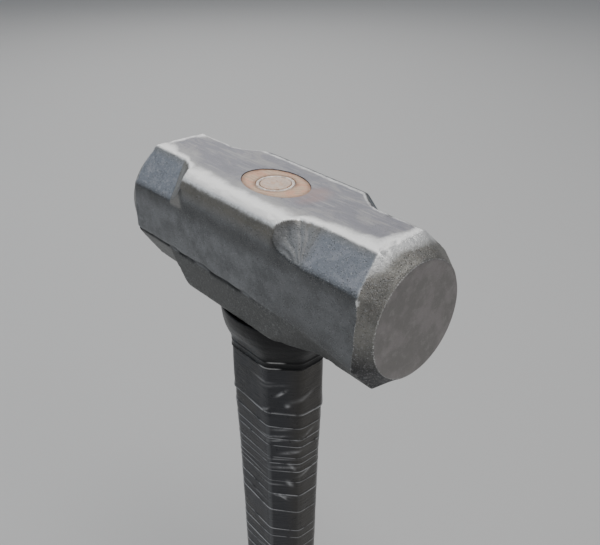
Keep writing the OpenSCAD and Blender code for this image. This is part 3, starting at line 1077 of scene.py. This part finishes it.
def build_collar(settings):
    """Sleeve that follows the grip at its beaded rim and flares into an oval under the head."""
    angle = np.linspace(0, TURN, 200, endpoint=False)
    low, high = COLLAR_LOW[2], COLLAR_HIGH[2]
    rim = 0.62 * MM
    flare = oval_radius(COLLAR_HIGH[0], COLLAR_HIGH[1], angle)
    rise = (high - low) / MM
    at_rim, at_flare = np.linspace(0.0, 5.2, 27), np.linspace(5.8, rise - 0.8, 28)
    heights = np.concatenate([at_rim, at_flare, rise - np.array([0.4, 0.15, 0.0])])
    # Share of the flare at depths below the head, in millimetres
    depths, spreads = [0.0, 3.0, 6.0, 9.0, 11.5, 13.6, 15.6], [1.0, 0.96, 0.86, 0.66, 0.40, 0.15, 0.0]
    octagonal = grip_radius(low, angle, rim, 26)
    rings = []
    for h in heights * MM:
        spread = np.interp(rise - h / MM, depths, spreads)
        lines = math.exp(-(((h / MM - 0.6) / 0.5) ** 2)) + 0.8 * math.exp(-(((h / MM - 3.4) / 0.6) ** 2))
        bead = settings.bead * lines
        over = 0.35 * MM * smooth(rise - 0.5, rise, h / MM)
        under = 0.45 * MM * smooth(0.5 * MM, 0.0, h)
        radius = octagonal + spread * (flare - octagonal) + bead - over - under
        rings.append(ring_at(low + h, radius, angle))
    neck = oval_radius(NECK_LENGTH + 0.1 * MM, NECK_WIDTH + 0.1 * MM, angle)
    bare = grip_radius(low, angle, 0.05 * MM)
    for share in np.linspace(1.0, 0.0, 8):
        rings.append(ring_at(low + share * (high - low), bare + share * (neck - bare), angle))
    rings = np.array(rings)
    flat = rings.reshape(-1, 3)
    sag = 0.10 * MM * roughness_at(flat, 9 * MM, 15, 2)
    flat[:, :2] *= (1 + sag / np.hypot(flat[:, 0], flat[:, 1]))[:, None]
    collar = skin("neck_sleeve", flat.reshape(rings.shape), closed=True)
    outward(collar)
    up = flat[:, 2] - low
    bearing = np.degrees(np.arctan2(flat[:, 1], flat[:, 0]))
    # Painted highlight on the bead's two lines, at the corner that faces the light
    painted_crest_highlight = np.exp(-(((up - 0.75 * MM) / (0.22 * MM)) ** 2)) * smooth(17, 9, np.abs(bearing + 52))
    painted_crest_highlight += np.exp(-(((up - 3.55 * MM) / (0.22 * MM)) ** 2)) * smooth(13, 6, np.abs(bearing + 43))
    paint(collar, "painted_crest_highlight", np.clip(painted_crest_highlight, 0, 1))
    # Bluish scuffs on the left and far side, partly a painted reflection, fading out under the head
    handled = smooth(50, 20, (bearing + 100) % 360) + smooth(60, 110, np.abs(bearing))
    paint(collar, "scuff_and_reflection", np.clip(handled, 0, 1) * smooth(rise - 2, rise - 9, up / MM))
    dress(collar, "neck_collar", collar_black(settings))


# ---------------------------------------------------------------- the tape


def paint_facets(tape, points):
    """Marks the painted highlight on the grip's facet corners, its front facet painted paler as lit, and
    the two facets that are painted lighter and browner.
    """
    angle = np.arctan2(points[:, 1], points[:, 0])
    sharp = grip_radius(points[:, 2], angle, 0, 400)
    soft = grip_radius(points[:, 2], angle, 0, 34)
    # Painted highlight along the facet corners, strongest on those that face the light
    lit = 0.65 + 0.35 * np.cos(angle + math.radians(58))
    paint(tape, "corner_highlight", smooth(0.0045, 0.0125, 1 - soft / sharp) * lit)
    off_axis, off_front = np.abs(np.degrees(angle) + 2), np.abs(np.degrees(angle) + 44)
    # The facets facing +X and -X are painted browner and lighter
    paint(tape, "warm", smooth(34, 10, off_axis) + smooth(146, 170, off_axis))
    # Painted light: the front facet is painted paler
    paint(tape, "front", smooth(34, 16, off_front))


def wrinkle(points, base, puckers):
    """Raised puckers, each given as bearing, height over the base, length, width, slant and lift.

    Angles are in degrees and the rest is in millimetres.
    """
    angle = np.arctan2(points[..., 1], points[..., 0])
    reach = np.hypot(points[..., 0], points[..., 1])
    lift = np.zeros(points.shape[:-1])
    for bearing, height, size, width, slant, rise in puckers:
        turn = (angle - math.radians(bearing) + math.pi) % TURN - math.pi
        along = turn * reach
        up = points[..., 2] - (base + height * MM)
        c, s = math.cos(math.radians(slant)), math.sin(math.radians(slant))
        u, v = (along * c + up * s) / (size * MM), (up * c - along * s) / (width * MM)
        lift = lift + rise * MM * np.exp(-(u * u) - v * v)
    return lift


def stretch_marks(points, seed):
    """Fine pulls that run round the grip, deeper where the tape bunches."""
    squeezed = points * np.array([0.22, 0.22, 1.0])
    pulls = roughness_at(squeezed, 1.7 * MM, seed, 2)
    bunched = 0.5 + 0.5 * roughness_at(points, 14 * MM, seed + 1, 2)
    return pulls * (0.3 + bunched)


def build_band(settings):
    """The smooth first turn of tape, pulled over the grip's corners, with the rolled edge that ends it."""
    angle = np.linspace(0, TURN, 320, endpoint=False)
    low, high = BAND_LOW[2], BAND_HIGH[2]
    hidden = np.linspace(low - 10 * MM, low - 1 * MM, 20)
    edged = np.linspace(low - 0.7 * MM, low + 5 * MM, 40)
    heights = np.concatenate([hidden, edged, np.linspace(low + 5.3 * MM, high, 48)])
    # The rolled edge climbs from the right, past the front, to the left and dies out at the back
    turned = np.degrees(math.radians(60) - angle) % 360
    climb = low + (0.1 + 1.75 * turned / 90.0) * MM
    strength = smooth(0, 30, turned) * smooth(290, 200, turned) * (0.8 + 0.3 * np.sin(angle * 5 + 1.0))
    rows, edge = [], []
    for z in heights:
        above = smooth(-0.7 * MM, 0.1 * MM, z - climb)
        flat_end = smooth(0.3, 0.0, strength) * smooth(-4.5 * MM, -2.0 * MM, z - low)
        roll = strength * np.exp(-(((z - climb - 0.1 * MM) / (0.42 * MM)) ** 2))
        thick = (0.08 + 0.34 * np.maximum(above, flat_end) + 0.28 * roll) * MM
        rows.append(ring_at(z, grip_radius(z, angle, thick), angle))
        edge.append(roll)
    outside = np.array(rows)
    puckers = [
        (-37, 12.3, 2.0, 0.6, 38, 0.55),
        (-30, 6.3, 0.9, 0.8, 10, 0.45),
        (-58, 3.8, 1.6, 0.5, 34, 0.40),
        (-12, 10.0, 5.0, 0.9, 24, 0.16),
        (-62, 17.6, 4.0, 0.5, -4, 0.20),
        (-48, 15.8, 5.0, 0.5, 6, 0.14),
        (120, 9.0, 4.0, 0.8, -20, 0.45),
        (200, 14.0, 3.0, 0.8, 30, 0.40),
    ]
    crease = wrinkle(outside, low, puckers)
    slack = smooth(low - 1 * MM, low + 2 * MM, outside[..., 2])
    pulled = 0.02 * MM * stretch_marks(outside, 21)
    lift = crease + slack * (pulled + 0.10 * MM * roughness_at(outside, 8 * MM, 23))
    reach = np.hypot(outside[..., 0], outside[..., 1])
    outside[..., :2] *= (1 + lift / reach)[..., None]
    inside = np.array([ring_at(z, grip_radius(z, angle, 0.0), angle) for z in heights[::-7]])
    band = skin("first_band", np.concatenate([outside, inside]), closed=True)
    outward(band)
    points = mesh_points(band)
    # The rolled edge and the puckers are painted pale: partly rubbed tape, partly painted highlight
    rubbed = np.clip(np.array(edge) * 0.9 + 0.8 * crease / (0.5 * MM), 0, 1).ravel()
    paint(band, "edge", np.concatenate([rubbed, np.zeros(len(points) - rubbed.size)]))
    paint_facets(band, points)
    dress(band, "top_band", wound_tape(settings, "band_tape", 0.30, 0.25))


# Depths below the band's rolled edge at which the winding's edge passes the front
PASSES = np.array([6.1, 13.0, 16.2, 23.3, 26.7, 31.1, 36.3, 43.4, 53.4, 67.0]) * MM


def edge_heights(turns, around):
    """Height of the winding's upper edge at every step of the way down, to one turn past the end."""
    dice = random.Random(43)
    gaps = np.array([dice.uniform(0.6, 1.5) for _ in range(turns - len(PASSES))])
    left = ROLL_Z - PASSES[-1] - (TAPE_LOW[2] + 5 * MM)
    heights = np.concatenate([ROLL_Z - PASSES, ROLL_Z - PASSES[-1] - left * np.cumsum(gaps) / gaps.sum()])
    knots = np.concatenate([[0.0], np.arange(turns) + 0.5, [turns + 1.0]])
    heights = np.concatenate([[TAPE_HIGH[2] - 0.2 * MM], heights, [TAPE_LOW[2]]])
    step = np.arange((turns + 1) * around + 1) / around
    edge = np.interp(step, knots, heights)
    span = around // 3
    padded = np.concatenate([np.full(span, edge[0]), edge, np.full(span, edge[-1])])
    soft = np.convolve(padded, np.full(2 * span + 1, 1 / (2 * span + 1)), mode="same")[span:-span]
    edge = edge + (soft - edge) * smooth(0.0, 0.4, step)
    sway = np.array([noise.noise(Vector((s * 2.3, 1.7, 0.0))) for s in step])
    return edge - 0.7 * MM * sway * smooth(0.5, 1.2, step)


def build_grip_tape(settings):
    """One strip of tape wound down the grip; each turn's upper edge stands over the turn above it."""
    around = 120
    edges = edge_heights(settings.turns, around)
    count = settings.turns * around + 1
    step = np.arange(count)
    angle = math.pi / 2 + step / around * TURN
    upper = edges[:count]
    lower = np.minimum(edges[around:around + count], upper - 1.8 * MM)
    floor = TAPE_LOW[2]
    width = upper - lower
    waver = np.array([noise.noise(Vector((s / around * 3.7, 9.1, 2.0))) for s in step])
    proud = settings.step * (1.0 + 0.7 * waver)
    firm = 0.75 + 0.9 * waver
    # Thickness at a turn's lower edge, depth of the upper edge's lip, and how far a turn is tucked
    # under the next and stands off the wood
    tail, lip, tuck, off = 0.17 * MM, 0.34 * MM, 0.8 * MM, 0.02 * MM

    rows, marks = [], []

    def add_row(z, grow, mark):
        rows.append(ring_at(np.maximum(z, floor), grip_radius(z, angle, grow), angle))
        marks.append(mark * np.clip(firm, 0.15, 1.0))

    # The marks paint each turn's upper edge pale: partly rubbed tape, partly painted highlight where the
    # ledge faces the light
    add_row(upper, tail - 0.12 * MM, 1.0)
    add_row(upper, proud * 0.6, 1.0)
    add_row(upper - 0.03 * MM, proud - 0.06 * MM, 1.0)
    add_row(upper - 0.16 * MM, proud, 0.9)
    add_row(upper - lip, proud, 0.15)
    for share in np.linspace(0.0, 1.0, 20)[1:]:
        add_row(upper - lip - share * (width - lip), proud + (tail - proud) * share, 0.0)
    outer = slice(2, len(rows))
    add_row(lower - tuck, tail - 0.12 * MM, 0.0)
    add_row(lower - tuck, off, 0.0)
    add_row(upper - 0.5 * width, off, 0.0)
    add_row(upper - 0.3 * MM, off, 0.0)

    strip = np.stack(rows)
    puckers = [
        (-47, -12.0, 4.2, 0.45, 3, 0.50),
        (-42, -14.2, 3.6, 0.40, 7, 0.35),
        (-38, -8.2, 3.0, 0.6, 4, 0.22),
        (-25, -20.6, 3.2, 0.7, 14, 0.40),
        (-42, -24.8, 5.5, 0.4, 0, 0.25),
        (-36, -29.4, 4.5, 0.6, 3, 0.30),
        (-24, -29.0, 2.0, 0.5, -60, 0.35),
        (-27, -38.6, 1.5, 0.8, -60, 0.45),
        (-38, -46.2, 2.4, 0.5, -10, 0.50),
        (-34, -47.4, 1.6, 0.4, -42, 0.40),
        (-50, -39.5, 4.0, 0.4, -3, 0.25),
        (-100, -4.5, 9.0, 0.35, -4, 0.20),
        (-104, -33.6, 8.0, 0.4, -7, 0.30),
        (-95, -49.5, 8.0, 0.4, -8, 0.30),
        (-5, -33.0, 3.5, 0.6, 24, 0.25),
        (-8, -12.0, 4.0, 0.7, 30, 0.22),
        (100, -30.0, 4.0, 0.7, 10, 0.40),
        (190, -60.0, 4.0, 0.7, -15, 0.40),
        (60, -95.0, 5.0, 0.6, 12, 0.35),
        (-60, -82.0, 5.0, 0.5, 5, 0.35),
        (-130, -112.0, 5.0, 0.5, -6, 0.35),
        (-30, -124.0, 4.0, 0.5, 9, 0.35),
    ]
    crease = wrinkle(strip[outer], ROLL_Z, puckers)
    lift = crease + 0.04 * MM * stretch_marks(strip[outer], 31)
    reach = np.hypot(strip[outer, :, 0], strip[outer, :, 1])
    strip[outer, :, :2] *= (1 + lift / reach)[..., None]
    marks = np.stack(marks)
    # Puckers are painted pale as painted highlight on their crests
    marks[outer] = np.clip(marks[outer] + 0.75 * crease / (0.45 * MM), 0, 1)

    # Sections across the strip become the rings, so that its two cut ends are closed
    tape = skin("wound_strip", strip.transpose(1, 0, 2))
    outward(tape)
    points = mesh_points(tape)
    paint(tape, "edge", np.concatenate([marks.T.ravel(), [0.0, 0.0]]))
    paint_facets(tape, points)
    dress(tape, "grip_tape", wound_tape(settings, "wound_tape", 0.32, 1.0))


# ---------------------------------------------------------------- the stage


def soft_light(name, place, aim, size, power, tint):
    """A round area light that faces the aim."""
    lamp = bpy.data.lights.new(name, "AREA")
    lamp.shape = "DISK"
    lamp.size = size
    lamp.energy = power
    lamp.color = tint
    obj = bpy.data.objects.new(name, lamp)
    obj.location = place
    obj.rotation_euler = (Vector(aim) - Vector(place)).to_track_quat("-Z", "Y").to_euler()
    bpy.context.scene.collection.objects.link(obj)


def build_stage(settings):
    """Camera, soft studio light and a plain pale floor."""
    scene = bpy.context.scene
    half = 6.0
    mesh = bpy.data.meshes.new("floor")
    outline = [(i * half, j * half, 0) for i, j in ((-1, -1), (1, -1), (1, 1), (-1, 1))]
    mesh.from_pydata(outline, [], [(0, 1, 2, 3)])
    mesh.materials.append(floor_paint(settings))
    floor = bpy.data.objects.new("floor", mesh)
    scene.collection.objects.link(floor)

    middle = (0.0, 0.0, HEAD_Z)
    # Place, diameter in metres, power in watts and tint
    lights = {
        "key_light": ((0.15, 0.05, 1.45), 0.8, 6.0, (1.0, 0.99, 0.97)),
        "back_light": ((-1.05, 0.70, 1.15), 1.6, 8.5, (1.0, 0.99, 0.98)),
        "cool_light": ((-0.80, -0.68, 0.90), 0.9, 2.4, (0.86, 0.93, 1.0)),
        "side_light": ((1.10, 0.10, 0.55), 0.6, 1.2, (1.0, 0.97, 0.92)),
    }
    for name, (place, size, power, tint) in lights.items():
        soft_light(name, place, middle, size, power, tint)

    world = bpy.data.worlds.new("studio")
    world.use_nodes = True
    backdrop = world.node_tree.nodes["Background"]
    backdrop.inputs["Color"].default_value = (0.90, 0.94, 1.0, 1.0)
    backdrop.inputs["Strength"].default_value = 0.26
    scene.world = world

    a, e = settings.azimuth, settings.elevation
    back = Vector((math.sin(a) * math.cos(e), -math.cos(a) * math.cos(e), math.sin(e)))
    level = (-back).cross(Vector((0, 0, 1))).normalized()
    turn = Matrix.Rotation(settings.roll, 3, back)
    right, up = turn @ level, turn @ level.cross(-back)
    camera = bpy.data.objects.new("camera", bpy.data.cameras.new("camera"))
    camera.location = (
        Vector(middle) + settings.distance * back + settings.aim_right * right - settings.aim_down * up
    )
    camera.rotation_euler = Matrix((right, up, back)).transposed().to_euler()
    camera.data.lens = settings.lens
    camera.data.sensor_width = 36.0
    camera.data.clip_start = 0.01
    camera.data.clip_end = 50.0
    scene.collection.objects.link(camera)
    scene.camera = camera


# ---------------------------------------------------------------- the add-on


class HAMMER_OT_stage(bpy.types.Operator):
    """Set up the camera, the light and the floor"""

    bl_idname = "hammer.stage"
    bl_label = "Stage"

    def execute(self, context):
        build_stage(context.scene.hammer_stage)
        return {"FINISHED"}


class HAMMER_OT_head(bpy.types.Operator):
    """Forge the head, with its hollows, worn edges and eye"""

    bl_idname = "hammer.head"
    bl_label = "Head"

    def execute(self, context):
        build_head(context.scene.hammer_head)
        return {"FINISHED"}


class HAMMER_OT_handle(bpy.types.Operator):
    """Shape the wooden handle and its tenon"""

    bl_idname = "hammer.handle"
    bl_label = "Handle"

    def execute(self, context):
        build_handle(context.scene.hammer_handle)
        return {"FINISHED"}


class HAMMER_OT_wedge(bpy.types.Operator):
    """Make the round wedge in the end grain"""

    bl_idname = "hammer.wedge"
    bl_label = "Round wedge"

    def execute(self, context):
        build_wedge(context.scene.hammer_wedge)
        return {"FINISHED"}


class HAMMER_OT_collar(bpy.types.Operator):
    """Mould the collar under the head"""

    bl_idname = "hammer.collar"
    bl_label = "Collar"

    def execute(self, context):
        build_collar(context.scene.hammer_collar)
        return {"FINISHED"}


class HAMMER_OT_tape(bpy.types.Operator):
    """Wind the smooth band and the grip's tape"""

    bl_idname = "hammer.tape"
    bl_label = "Tape"

    def execute(self, context):
        build_band(context.scene.hammer_tape)
        build_grip_tape(context.scene.hammer_tape)
        return {"FINISHED"}


OPERATORS = (
    HAMMER_OT_stage, HAMMER_OT_head, HAMMER_OT_handle, HAMMER_OT_wedge, HAMMER_OT_collar, HAMMER_OT_tape,
)
SETTINGS = {
    "hammer_head": HeadSettings,
    "hammer_handle": HandleSettings,
    "hammer_wedge": WedgeSettings,
    "hammer_collar": CollarSettings,
    "hammer_tape": TapeSettings,
    "hammer_stage": StageSettings,
}


class HAMMER_PT_parts(bpy.types.Panel):
    """The hammer's parts, in the order in which they are built"""

    bl_label = "Lump hammer"
    bl_idname = "HAMMER_PT_parts"
    bl_space_type = "VIEW_3D"
    bl_region_type = "UI"
    bl_category = "Hammer"

    def draw(self, context):
        for operator in OPERATORS:
            self.layout.operator(operator.bl_idname)


def register():
    for group in SETTINGS.values():
        bpy.utils.register_class(group)
    for name, group in SETTINGS.items():
        setattr(bpy.types.Scene, name, PointerProperty(type=group))
    for operator in OPERATORS:
        bpy.utils.register_class(operator)
    bpy.utils.register_class(HAMMER_PT_parts)


def unregister():
    bpy.utils.unregister_class(HAMMER_PT_parts)
    for operator in reversed(OPERATORS):
        bpy.utils.unregister_class(operator)
    for name in SETTINGS:
        delattr(bpy.types.Scene, name)
    for group in SETTINGS.values():
        bpy.utils.unregister_class(group)


def main():
    register()
    bpy.ops.hammer.stage()
    bpy.ops.hammer.head()
    bpy.ops.hammer.handle()
    bpy.ops.hammer.wedge()
    bpy.ops.hammer.collar()
    bpy.ops.hammer.tape()


if __name__ == "__main__":
    main()
